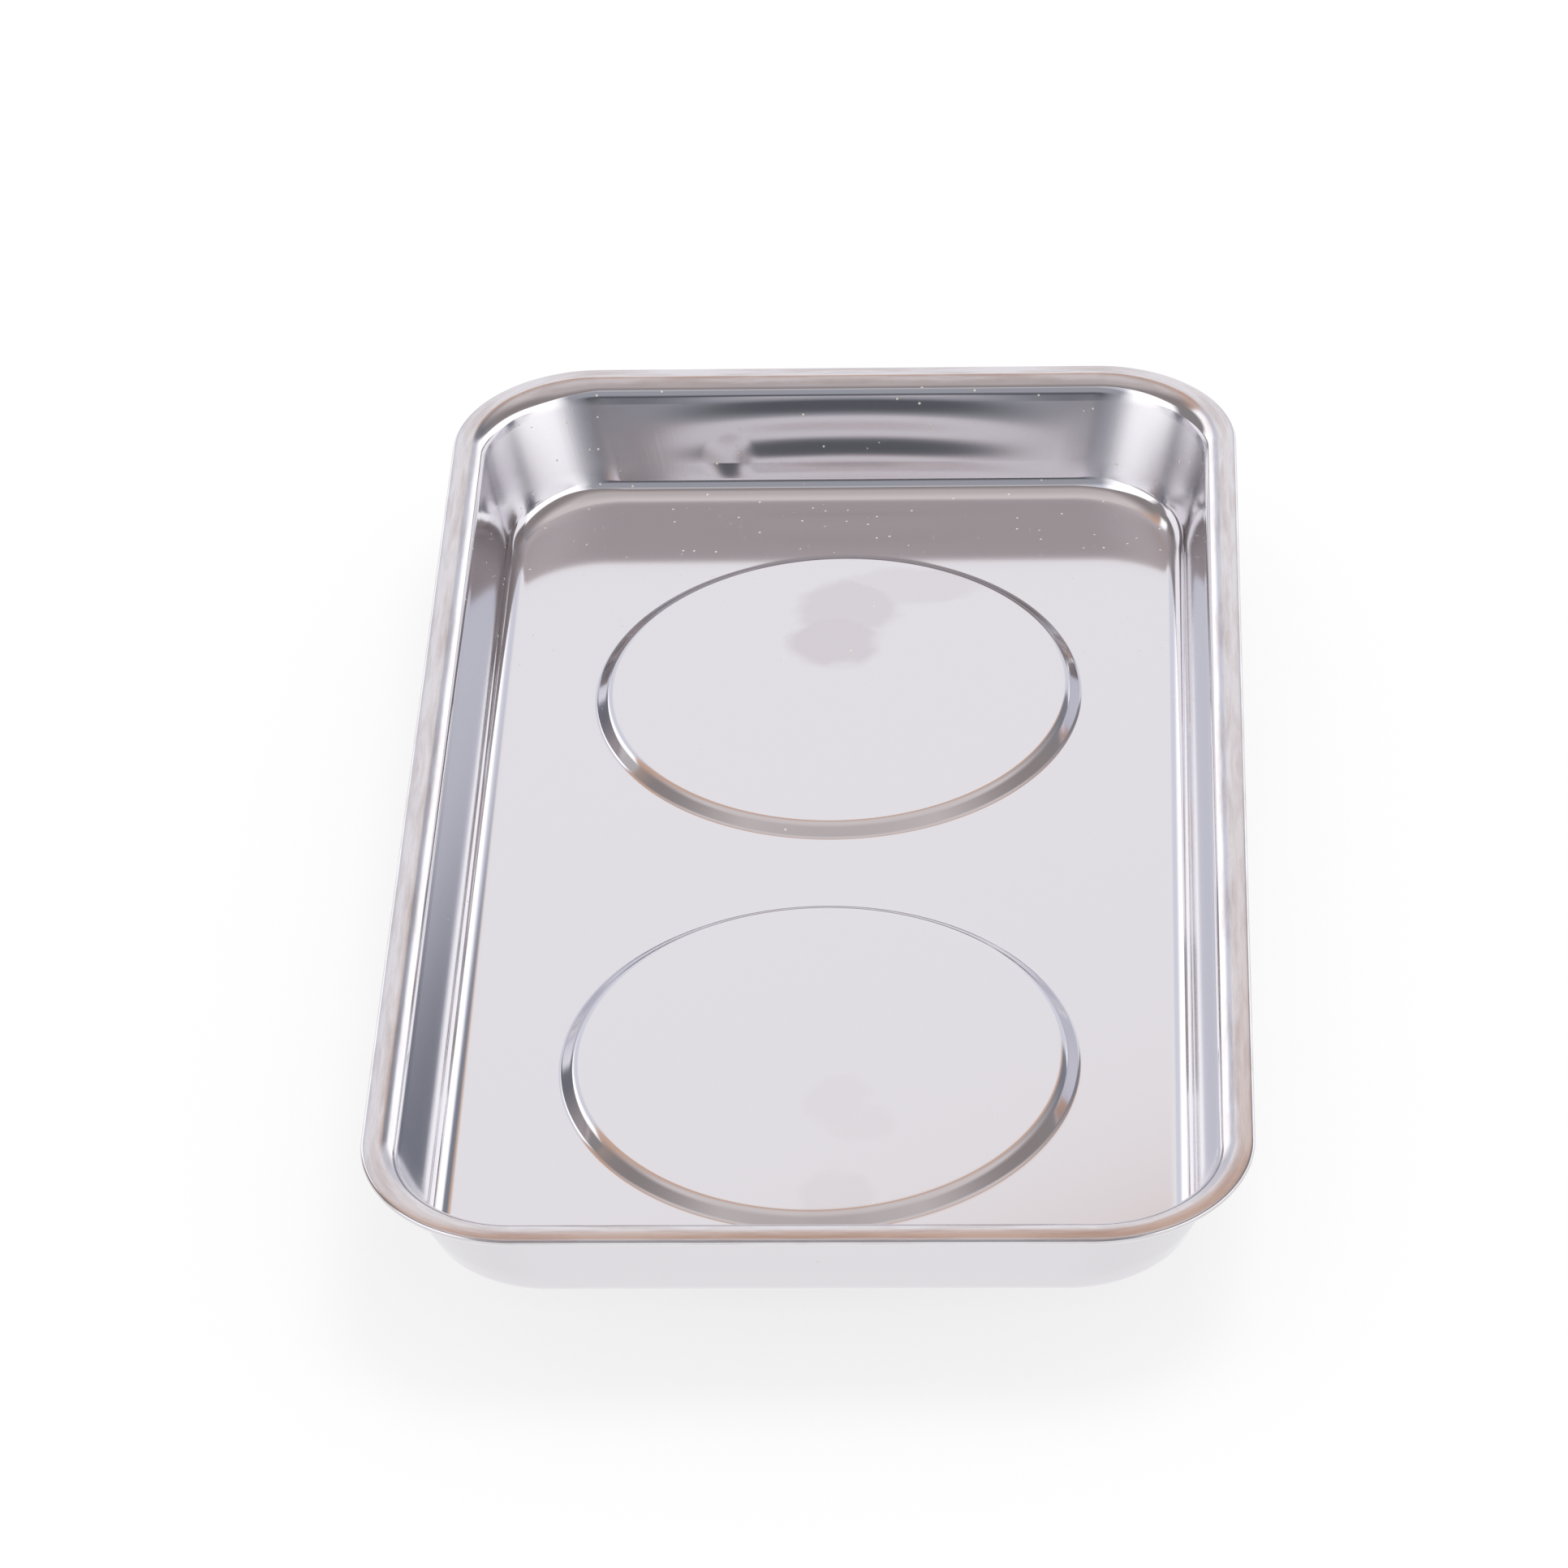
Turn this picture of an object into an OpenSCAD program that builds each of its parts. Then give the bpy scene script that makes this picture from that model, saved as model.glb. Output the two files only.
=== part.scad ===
// Magnetic parts tray: a dish pressed from one polished stainless sheet, with a hemmed rim and two
// raised seats, standing on two ring magnets in rubber boots that are bolted up under the seats.
// Origin: middle of the footprint, on the surface that the boots stand on.
// X runs across the tray, Y along it from the front seat to the rear one, and Z up.

/* [Dish] */
// Overall length over the rim
tray_length = 240; // [225:1:320]
// Overall width over the rim
tray_width = 136.5; // [126:0.5:180]
// Corner radius of the rim's outer edge, seen from above
corner_radius = 24.5; // [20:0.5:32]
// Depth from the top of the rim down to the inner floor
tray_depth = 19.7; // [16:0.1:30]
// Thickness of the stainless sheet
sheet = 0.6; // [0.4:0.05:0.7]
// Lean of the long walls out from upright, in degrees
side_draft = 13; // [4:0.5:15]
// Lean of the end walls out from upright, in degrees
end_draft = 17.5; // [4:0.5:20]
// Inner radius between the floor and the walls
floor_fillet = 2.7; // [1.5:0.1:4]

/* [Hemmed rim] */
// Width of the flat along the top of the rim
rim_flat = 2.1; // [1.5:0.1:4]
// Outer radius of the bend from the wall to the rim
rim_bend = 2.4; // [1.5:0.1:3]
// Outer radius of the fold along the rim's edge
hem_radius = 0.8; // [0.75:0.05:1.2]
// Width of the leaf of sheet that is folded back under the rim
hem_leaf = 1.6; // [1:0.1:2]

/* [Raised seats] */
// Height of a seat above the floor
seat_height = 1.55; // [1.3:0.05:2.5]
// Distance that a seat's sloping side covers, seen from above
seat_slope_run = 1.5; // [1.2:0.1:2.5]
// Outer radius of a seat's upper edge
seat_edge = 1.8; // [0.8:0.1:1.8]
// Inner radius at the foot of a seat's slope
seat_foot = 1.8; // [0.3:0.1:1.8]
// Distance between the axes of the two seats, as a share of the tray's length
seat_spacing_share = 0.4206; // [0.4:0.0001:0.45]
// How far the pair of seats sits in front of the dish's middle
seat_shift = 2.4; // [0:0.1:4]
// Room between a boot and the upper edge of its seat
seat_clearance = 1.4; // [1:0.05:2]

/* [Ring magnets] */
// Outer diameter of a ring magnet
magnet_diameter = 72; // [64:1:76]
// Bore of a ring magnet
magnet_bore = 32; // [28:1:40]
// Thickness of a ring magnet
magnet_thickness = 7; // [6.5:0.5:12]
// Chamfer on a ring magnet's edges
magnet_chamfer = 0.5; // [0.2:0.1:1]

/* [Backing plates] */
// Thickness of the steel plate over a magnet
plate_thickness = 1.2; // [1:0.1:2]
// How far a plate's edge stays inside its magnet's edge
plate_margin = 1; // [0.5:0.1:3]

/* [Rubber boots] */
// Wall thickness of a boot
boot_wall = 1.8; // [1.2:0.1:2.5]
// Thickness of rubber under the magnet
boot_base = 1.6; // [1.5:0.1:3]
// Thickness of the web that the washer clamps
boot_web = 1.8; // [1.2:0.1:2.2]
// Radius along a boot's lower outer edge
boot_edge = 1.5; // [0.5:0.1:2]
// Room between a boot and its magnet
boot_clearance = 0.2; // [0.1:0.05:0.3]
// Room between the wide washer and the wall of the well round it
well_clearance = 2.5; // [1:0.1:4]
// Grip grooves around a boot's underside
grip_grooves = 4; // [2:1:6]
// Width of a grip groove
groove_width = 1.6; // [0.8:0.1:2]
// Depth of a grip groove
groove_depth = 0.6; // [0.3:0.1:1]

/* [Fasteners] */
// Thread diameter of a weld stud
stud_diameter = 4; // [3:0.5:4]
// Diameter of a weld stud's flange
flange_diameter = 5.5; // [5:0.1:7]
// Thickness of a weld stud's flange
flange_thickness = 0.8; // [0.5:0.1:1]
// Length of thread that shows below the nut
stud_tail = 0.7; // [0.3:0.1:1]
// Outer diameter of a wide washer
washer_diameter = 15; // [10:0.5:20]
// Thickness of a wide washer
washer_thickness = 1; // [0.8:0.1:1.2]
// Outer diameter of a spring washer
spring_washer_diameter = 7.6; // [7:0.1:9]
// Thickness of a spring washer
spring_washer_thickness = 0.9; // [0.6:0.1:1]
// Width of the split in a spring washer
spring_washer_split = 0.8; // [0.4:0.1:1.2]
// Width of a nut across its flats
nut_width = 7; // [6.5:0.1:8]
// Height of a nut
nut_height = 3.2; // [2.4:0.1:3.2]
// Room between a stud and the pieces that it passes through
stud_clearance = 0.3; // [0.2:0.05:0.4]
// Room between the threads of a stud and a nut
thread_clearance = 0.05; // [0.02:0.01:0.1]

/* [Hidden] */
$fn = 96;
bend_steps = 8;
hem_steps = 12;
overrun = 1;
edge_break = 0.3;
split_lean = 20;
nut_chamfer = 30;
nut_face_share = 0.95;

// Heights, from the surface that the boots stand on
magnet_top = boot_base + magnet_thickness;
seat_underside = magnet_top + plate_thickness;
floor_top = seat_underside - seat_height + sheet;
rim_top = floor_top + tray_depth;
web_underside = magnet_top - boot_web;
washer_underside = web_underside - washer_thickness;
spring_underside = washer_underside - spring_washer_thickness;
nut_underside = spring_underside - nut_height;
stud_end = nut_underside - stud_tail;

// Plan of the dish: centres of its rounded corners, where leaning the walls pushes the hem's edge out a little
corner_x = tray_width / 2 - corner_radius - hem_radius * (1 / cos(side_draft) - 1);
corner_y = tray_length / 2 - corner_radius - hem_radius * (1 / cos(end_draft) - 1);

// Section of the dish with its wall still upright, from a corner's centre outwards and from the inner floor up
hem_centre = [corner_radius - hem_radius, tray_depth - hem_radius];
bend_centre = [hem_centre[0] - rim_flat, tray_depth - rim_bend];
fillet_centre = [bend_centre[0] - rim_bend - floor_fillet, floor_fillet];
leaf_end = hem_centre[0] - hem_leaf;
leaf_underside = tray_depth - 2 * hem_radius;

// Lean of the walls, as sideways travel for each unit of height
side_lean = tan(side_draft);
end_lean = tan(end_draft);

// Section of a raised seat, from its centre outwards and from the inner floor up
boot_radius = magnet_diameter / 2 + boot_clearance + boot_wall;
seat_top_radius = boot_radius + seat_clearance;
seat_foot_radius = seat_top_radius + seat_slope_run;
seat_slope = atan2(seat_height, seat_slope_run);
edge_centre = [seat_top_radius - seat_edge * tan(seat_slope / 2), seat_height - seat_edge];
foot_centre = [seat_foot_radius + seat_foot * tan(seat_slope / 2), seat_foot];
seat_hole_radius = foot_centre[0] + sheet;
seat_blank_radius = seat_hole_radius + sheet;
seat_spacing = seat_spacing_share * tray_length;

// Radii of a rubber boot
boot_bore_radius = magnet_diameter / 2 + boot_clearance;
hub_radius = magnet_bore / 2 - boot_clearance;
well_radius = washer_diameter / 2 + well_clearance;
stud_hole_radius = stud_diameter / 2 + stud_clearance;
grip_band = boot_radius - boot_edge - well_radius;

front = -1;
rear = 1;

// Points along an arc, both ends included
function arc(centre, radius, from, to, steps = bend_steps) = [
    for (i = [0:steps])
        let (a = from + (to - from) * i / steps)
        centre + radius * [cos(a), sin(a)]
];

// The sheet's section from floor to hem: along the inner face, then back along the outer one
module dish_section() {
    polygon(concat(
        [[0, 0]],
        arc(fillet_centre, floor_fillet, -90, 0),
        arc(bend_centre, rim_bend, 180, 90),
        arc(hem_centre, hem_radius, 90, -90, hem_steps),
        [[leaf_end, leaf_underside], [leaf_end, leaf_underside + sheet]],
        arc(hem_centre, hem_radius - sheet, -90, 90, hem_steps),
        arc(bend_centre, rim_bend - sheet, 90, 180),
        arc(fillet_centre, floor_fillet + sheet, 0, -90),
        [[0, -sheet]]
    ));
}

// The sheet's section across half a seat: along the upper face, then back along the lower one
module seat_section() {
    polygon(concat(
        [[0, seat_height]],
        arc(edge_centre, seat_edge, 90, 90 - seat_slope),
        arc(foot_centre, seat_foot, -90 - seat_slope, -90),
        [[seat_blank_radius, 0], [seat_blank_radius, -sheet]],
        arc(foot_centre, seat_foot + sheet, -90, -90 - seat_slope),
        arc(edge_centre, seat_edge - sheet, 90 - seat_slope, 90),
        [[0, seat_height - sheet]]
    ));
}

// Leans upright walls outwards about the height of the hem's centre
module lean_walls() {
    multmatrix([
        [1, 0, side_lean, -side_lean * hem_centre[1]],
        [0, 1, end_lean, -end_lean * hem_centre[1]],
        [0, 0, 1, 0]
    ])
        children();
}

// One corner of the dish with the walls that run on from it past the dish's middle, and the floor between them
module leaning_corner() {
    reach = tray_depth;
    lean_walls() {
        translate([corner_x, corner_y, 0]) {
            rotate_extrude(angle = 90)
                dish_section();
            rotate([90, 0, 0])
                linear_extrude(height = corner_y + reach)
                    dish_section();
            mirror([1, 0, 0])
                rotate([90, 0, 90])
                    linear_extrude(height = corner_x + reach)
                        dish_section();
        }
        translate([-reach, -reach, -sheet])
            cube([corner_x + reach + floor_fillet, corner_y + reach + floor_fillet, sheet]);
    }
}

// The pressed dish before its seats are formed: four corners that meet on its middle lines
module dish_blank() {
    for (mx = [0, 1], my = [0, 1])
        mirror([mx, 0, 0])
            mirror([0, my, 0])
                intersection() {
                    leaning_corner();
                    translate([0, 0, -sheet - overrun])
                        cube([tray_width, tray_length, sheet + tray_depth + 2 * overrun]);
                }
}

// Puts a piece on the axis of the front or the rear seat
module at_seat(end) {
    translate([0, end * seat_spacing / 2 - seat_shift, 0])
        children();
}

// The dish: one sheet, with its floor pressed up into two round seats that lap over the holes left for them
module tray_pan() {
    color("gainsboro")
        translate([0, 0, floor_top]) {
            difference() {
                dish_blank();
                for (end = [front, rear])
                    at_seat(end)
                        translate([0, 0, -sheet - overrun])
                            cylinder(r = seat_hole_radius, h = sheet + 2 * overrun);
            }
            for (end = [front, rear])
                at_seat(end)
                    rotate_extrude()
                        seat_section();
        }
}

// Threaded stud, welded by its flange to the underside of a seat
module weld_stud() {
    r = stud_diameter / 2;
    flange_underside = seat_underside - flange_thickness;
    color("goldenrod")
        rotate_extrude()
            polygon([
                [0, seat_underside],
                [flange_diameter / 2, seat_underside],
                [flange_diameter / 2, flange_underside],
                [r, flange_underside],
                [r, stud_end + edge_break],
                [r - edge_break, stud_end],
                [0, stud_end]
            ]);
}

// Steel disc between a magnet and the dish, with a hole that clears the stud's flange
module backing_plate() {
    r = magnet_diameter / 2 - plate_margin;
    color("lightsteelblue")
        rotate_extrude()
            polygon([
                [flange_diameter / 2 + stud_clearance, magnet_top],
                [r - edge_break, magnet_top],
                [r, magnet_top + edge_break],
                [r, seat_underside - edge_break],
                [r - edge_break, seat_underside],
                [flange_diameter / 2 + stud_clearance, seat_underside]
            ]);
}

// Ferrite ring with chamfered edges
module ring_magnet() {
    ro = magnet_diameter / 2;
    ri = magnet_bore / 2;
    c = magnet_chamfer;
    color("dimgray")
        rotate_extrude()
            polygon([
                [ri + c, boot_base], [ro - c, boot_base],
                [ro, boot_base + c], [ro, magnet_top - c],
                [ro - c, magnet_top], [ri + c, magnet_top],
                [ri, magnet_top - c], [ri, boot_base + c]
            ]);
}

// Moulded rubber cup: an outer wall round the magnet, a hub in its bore, a web under the plate and
// a well that keeps the nut off the ground, with grip grooves round the underside
module rubber_boot() {
    top = seat_underside - edge_break;
    color("darkslategray")
        difference() {
            rotate_extrude()
                polygon(concat(
                    [
                        [stud_hole_radius, magnet_top], [hub_radius, magnet_top],
                        [hub_radius, boot_base], [boot_bore_radius, boot_base],
                        [boot_bore_radius, top], [boot_radius, top]
                    ],
                    arc([boot_radius - boot_edge, boot_edge], boot_edge, 0, -90),
                    [
                        [well_radius + groove_depth, 0], [well_radius, groove_depth],
                        [well_radius, web_underside], [stud_hole_radius, web_underside]
                    ]
                ));
            for (i = [1:grip_grooves])
                rotate_extrude()
                    translate([well_radius + grip_band * i / (grip_grooves + 1) - groove_width / 2, -overrun])
                        square([groove_width, groove_depth + overrun]);
        }
}

// Wide flat washer that spreads the nut's load over the boot's web
module wide_washer() {
    color("silver")
        translate([0, 0, washer_underside])
            difference() {
                cylinder(d = washer_diameter, h = washer_thickness);
                translate([0, 0, -overrun])
                    cylinder(r = stud_hole_radius, h = washer_thickness + 2 * overrun);
            }
}

// Spring washer, drawn closed up, with its slanting split
module spring_washer() {
    color("silver")
        translate([0, 0, spring_underside])
            difference() {
                cylinder(d = spring_washer_diameter, h = spring_washer_thickness);
                translate([0, 0, -overrun])
                    cylinder(r = stud_diameter / 2 + thread_clearance, h = spring_washer_thickness + 2 * overrun);
                translate([spring_washer_diameter / 2, 0, spring_washer_thickness / 2])
                    rotate([split_lean, 0, 0])
                        cube(
                            [spring_washer_diameter, spring_washer_split, 2 * spring_washer_thickness + overrun],
                            center = true
                        );
            }
}

// Hexagon nut with its corners chamfered at both ends
module hex_nut() {
    corner_r = nut_width / sqrt(3);
    face_r = nut_face_share * nut_width / 2;
    drop = (corner_r - face_r) * tan(nut_chamfer);
    bore_r = stud_diameter / 2 + thread_clearance;
    color("silver")
        translate([0, 0, nut_underside])
            difference() {
                intersection() {
                    cylinder(r = corner_r, h = nut_height, $fn = 6);
                    rotate_extrude()
                        polygon([
                            [0, 0], [face_r, 0], [corner_r, drop],
                            [corner_r, nut_height - drop], [face_r, nut_height], [0, nut_height]
                        ]);
                }
                translate([0, 0, -overrun])
                    cylinder(r = bore_r, h = nut_height + 2 * overrun);
                cylinder(r1 = bore_r + edge_break, r2 = bore_r, h = edge_break);
            }
}

tray_pan();
at_seat(front) weld_stud();  // front_weld_stud
at_seat(front) backing_plate();  // front_backing_plate
at_seat(front) ring_magnet();  // front_ring_magnet
at_seat(front) rubber_boot();  // front_rubber_boot
at_seat(front) wide_washer();  // front_wide_washer
at_seat(front) spring_washer();  // front_spring_washer
at_seat(front) hex_nut();  // front_hex_nut
at_seat(rear) weld_stud();  // rear_weld_stud
at_seat(rear) backing_plate();  // rear_backing_plate
at_seat(rear) ring_magnet();  // rear_ring_magnet
at_seat(rear) rubber_boot();  // rear_rubber_boot
at_seat(rear) wide_washer();  // rear_wide_washer
at_seat(rear) spring_washer();  // rear_spring_washer
at_seat(rear) hex_nut();  // rear_hex_nut
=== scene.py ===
import math

import bmesh
import bpy
from bpy.props import FloatProperty, FloatVectorProperty, IntProperty, PointerProperty
from mathutils import Matrix, Vector


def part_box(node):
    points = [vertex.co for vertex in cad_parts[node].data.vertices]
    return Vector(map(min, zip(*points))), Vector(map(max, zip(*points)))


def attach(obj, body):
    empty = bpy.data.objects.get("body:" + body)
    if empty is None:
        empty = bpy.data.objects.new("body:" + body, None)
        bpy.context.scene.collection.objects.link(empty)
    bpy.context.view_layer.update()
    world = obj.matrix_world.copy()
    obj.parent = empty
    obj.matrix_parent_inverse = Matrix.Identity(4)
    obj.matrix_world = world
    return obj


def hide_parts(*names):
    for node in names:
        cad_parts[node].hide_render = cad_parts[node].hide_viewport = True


bl_info = {
    "name": "Magnetic Parts Tray",
    "version": (1, 0, 0),
    "blender": (4, 5, 0),
    "location": "3D View > Sidebar > Parts Tray",
    "description": "Dresses a packed parts tray: pressed dish, booted magnets, fasteners and a white stage",
    "category": "Object",
}

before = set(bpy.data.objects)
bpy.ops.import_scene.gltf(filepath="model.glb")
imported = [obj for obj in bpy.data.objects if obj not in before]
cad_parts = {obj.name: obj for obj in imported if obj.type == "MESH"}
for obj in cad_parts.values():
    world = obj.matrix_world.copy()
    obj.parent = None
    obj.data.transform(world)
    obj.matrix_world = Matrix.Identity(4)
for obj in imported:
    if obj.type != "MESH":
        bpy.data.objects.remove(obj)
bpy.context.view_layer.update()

MM = 0.001
UP = Vector((0, 0, 1))
ENDS = ("front", "rear")

# How near points are merged or count as level, and how the ends of flat runs and small roundings are drawn
MERGE = 0.002 * MM
MIRROR_MERGE = 0.001 * MM
LEVEL = 0.01 * MM
FLAT_STRIP = 0.15 * MM
LIP_STEPS = 4

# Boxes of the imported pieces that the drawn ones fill
PAN_LOW, PAN_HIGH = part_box("tray_pan")
BOOT_LOW, BOOT_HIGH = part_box("front_rubber_boot")
MAGNET_LOW, MAGNET_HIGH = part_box("front_ring_magnet")
STUD_LOW, STUD_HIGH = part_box("front_weld_stud")
WASHER_LOW, WASHER_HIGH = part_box("front_wide_washer")
SPLIT_LOW, SPLIT_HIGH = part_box("front_spring_washer")
NUT_LOW, NUT_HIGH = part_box("front_hex_nut")

# Handling marks on the dish, in millimetres: where each lies, how far it spreads, and how strongly it shows
MARKS = (
    (-0.5, 62.0, 8.5, 8.5, 0.5),
    (1.0, 71.0, 9.5, 9.0, 0.42),
    (12.0, 78.0, 13.0, 6.0, 0.24),
    (3.0, -64.0, 6.0, 7.0, 0.1),
    (7.0, -70.0, 5.5, 5.0, 0.08),
    (3.5, -88.0, 6.5, 7.0, 0.11),
)

# Where the photograph was taken from
CAMERA_AZIMUTH = math.radians(3.479)
CAMERA_ELEVATION = math.radians(36.238)
CAMERA_ROLL = math.radians(-2.383)
CAMERA_DISTANCE = 1186.1 * MM
CAMERA_TARGET = Vector((-8.361 * MM, 22.171 * MM, PAN_HIGH.z - 19.7 * MM))
CAMERA_SENSOR = 36
CAMERA_LENS = 162.65

# Tones of the room that the polished sheet mirrors, in linear light
TENT_BACK = (1.03, 1.02, 1.035, 1)
TENT_BACK_SHADE = (0.82, 0.84, 0.92, 1)
TENT_SIDES = (1.5, 1.5, 1.5, 1)
TENT_LEFT_PATCH = (0.3, 0.28, 0.28, 1)
FRONT_ROOM = (0.4, 0.41, 0.45, 1)
FRONT_FURNITURE = (0.1, 0.105, 0.12, 1)
CEILING = (0.77, 0.705, 0.69, 1)
CEILING_FLANKS = (0.25, 0.225, 0.22, 1)
CEILING_BORDER = (0.32, 0.285, 0.275, 1)
CEILING_GLOW = (0.71, 0.49, 0.37, 1)
CEILING_CORNER = (0.24, 0.26, 0.3, 1)
PLAIN_LIGHT = (0.92, 0.92, 0.92, 1)
WHITE = (1, 1, 1, 1)


def linear(hex_colour):
    """The linear colour of an sRGB hex value."""
    channels = [int(hex_colour[i:i + 2], 16) / 255 for i in (0, 2, 4)]
    return tuple(c / 12.92 if c <= 0.04045 else ((c + 0.055) / 1.055) ** 2.4 for c in channels)


def length(name, description, default):
    """A length that the sidebar shows in the scene's own units."""
    return FloatProperty(name=name, description=description, default=default, unit="LENGTH", precision=5)


def angle(name, description, degrees):
    """An angle that the sidebar shows in degrees."""
    return FloatProperty(name=name, description=description, default=math.radians(degrees), unit="ROTATION")


def face_count(name, description, default):
    """A number of faces that a curve is drawn with."""
    return IntProperty(name=name, description=description, default=default, min=8)


def colour(name, description, hex_colour):
    """A colour that the sidebar shows as a swatch."""
    return FloatVectorProperty(name=name, description=description, subtype="COLOR", size=3, min=0, max=1,
                               default=linear(hex_colour))


class DishSizes(bpy.types.PropertyGroup):
    """Sizes of the pressed dish."""

    width: length("Width", "Overall width over the rim", PAN_HIGH.x - PAN_LOW.x)
    length: length("Length", "Overall length over the rim", PAN_HIGH.y - PAN_LOW.y)
    rim_top: length("Rim height", "Height of the rim above the table", PAN_HIGH.z)
    depth: length("Depth", "Depth from the rim down to the inner floor", 19.7 * MM)
    sheet: length("Sheet", "Thickness of the stainless sheet", 0.6 * MM)
    corner_radius: length("Corner radius", "Radius of the rim's corners, seen from above", 24.5 * MM)
    side_draft: angle("Side draft", "Lean of the long walls out from upright", 13)
    end_draft: angle("End draft", "Lean of the end walls out from upright", 17.5)
    floor_fillet: length("Floor fillet", "Inner radius between the floor and the walls", 2.7 * MM)
    rim_flat: length("Rim flat", "Width of the nearly flat strip along the top of the rim", 2.1 * MM)
    rim_crown: angle("Rim crown", "How far the strip along the rim turns down towards its outer edge", 3)
    rim_bend: length("Rim bend", "Outer radius of the bend from the wall to the rim", 2.4 * MM)
    hem_radius: length("Hem radius", "Outer radius of the fold along the rim's edge", 0.8 * MM)
    hem_leaf: length("Hem leaf", "Width of the leaf that is folded back under the rim", 1.6 * MM)
    seat_height: length("Seat height", "Height of a seat above the floor", 1.55 * MM)
    seat_slope_run: length("Seat slope", "Width of a seat's sloping side, seen from above", 2.2 * MM)
    seat_round: length("Seat rounding", "Radius along the upper edge of a seat", 2.6 * MM)
    seat_foot: length("Seat foot", "Radius along the foot of a seat", 1.25 * MM)
    seat_clearance: length("Seat clearance", "Room between a boot and the upper edge of its seat", 1.0 * MM)


class BootSizes(bpy.types.PropertyGroup):
    """Sizes of the rubber boots."""

    wall: length("Wall", "Thickness of the wall round the magnet", 1.8 * MM)
    web: length("Web", "Thickness of the web that the washer clamps", 1.8 * MM)
    magnet_bore: length("Magnet bore", "Bore of the ring magnet that the boot's hub fills", 32 * MM)
    clearance: length("Clearance", "Room between the hub and the magnet", 0.2 * MM)
    edge: length("Edge", "Rounding along the outer edge of the underside", 1.5 * MM)
    lip: length("Lip", "Rounding along the upper edges and the edges of the grooves", 0.2 * MM)
    well_clearance: length("Well clearance", "Room round the washer in the well", 2.5 * MM)
    stud_clearance: length("Stud clearance", "Room round the stud", 0.3 * MM)
    groove_width: length("Groove width", "Width of a grip groove", 1.6 * MM)
    groove_depth: length("Groove depth", "Depth of a grip groove", 0.6 * MM)
    parting_bead: length("Parting bead", "Radius of the bead that the mould's parting line leaves", 0.15 * MM)
    grooves: IntProperty(name="Grooves", description="Number of grip grooves", default=4, min=1)


class FastenerSizes(bpy.types.PropertyGroup):
    """Sizes of the studs, washers and nuts."""

    stud_diameter: length("Stud diameter", "Diameter over the thread", 4 * MM)
    pitch: length("Pitch", "Distance between two turns of the thread", 0.7 * MM)
    thread_depth: length("Thread depth", "Depth of the thread", 0.38 * MM)
    thread_clearance: length("Thread clearance", "Room round the stud in a nut or spring washer", 0.05 * MM)
    flange_thickness: length("Flange thickness", "Thickness of the stud's welded flange", 0.8 * MM)
    edge: length("Edge", "Rounding along the washers' stamped edges", 0.15 * MM)
    split: length("Split", "Width of a spring washer's split", 0.8 * MM)
    split_lean: angle("Split lean", "Lean of a spring washer's split out from upright", 20)
    nut_chamfer: angle("Nut chamfer", "Slope of the chamfer on a nut's corners", 30)


class TrayColours(bpy.types.PropertyGroup):
    """Colours of the tray's finishes."""

    stainless: colour("Stainless", "Polished stainless sheet", "DEDCE0")
    stain: colour("Stain", "Heat and polishing stains along the rim", "A28C84")
    smudge: colour("Smudge", "Finger grease on the polished sheet", "C4BDC3")
    dust: colour("Dust", "Pale dust that lies in the dish", "E9E2D4")
    rubber: colour("Rubber", "Moulded rubber of the boots", "1E1E1F")
    rubber_bloom: colour("Rubber bloom", "Greyish bloom on the rubber's skin", "3B3A39")
    zinc: colour("Zinc", "Zinc plate on the fasteners and backing plates", "C6C9CE")
    zinc_tint: colour("Zinc tint", "Straw tint of the passivated plate", "CFC6B2")
    ferrite: colour("Ferrite", "Ground ferrite of the magnets", "3A3A3D")


class TraySettings(bpy.types.PropertyGroup):
    """Everything that a user of the tray would change."""

    dish: PointerProperty(type=DishSizes, name="Dish", description="Sizes of the pressed dish")
    boots: PointerProperty(type=BootSizes, name="Boots", description="Sizes of the rubber boots")
    fasteners: PointerProperty(type=FastenerSizes, name="Fasteners", description="Sizes of the fasteners")
    colours: PointerProperty(type=TrayColours, name="Colours", description="Colours of the finishes")


def node(tree, kind, links=None, **settings):
    """Adds a shader node, sets it up and fills its inputs with values or with other nodes' outputs."""
    made = tree.nodes.new("ShaderNode" + kind)
    for name, value in settings.items():
        setattr(made, name, value)
    for socket, value in (links or {}).items():
        if isinstance(value, bpy.types.NodeSocket):
            tree.links.new(value, made.inputs[socket])
        else:
            made.inputs[socket].default_value = value
    return made


def new_material(name):
    """An empty node material."""
    material = bpy.data.materials.new(name)
    material.use_nodes = True
    material.node_tree.nodes.clear()
    return material


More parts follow.
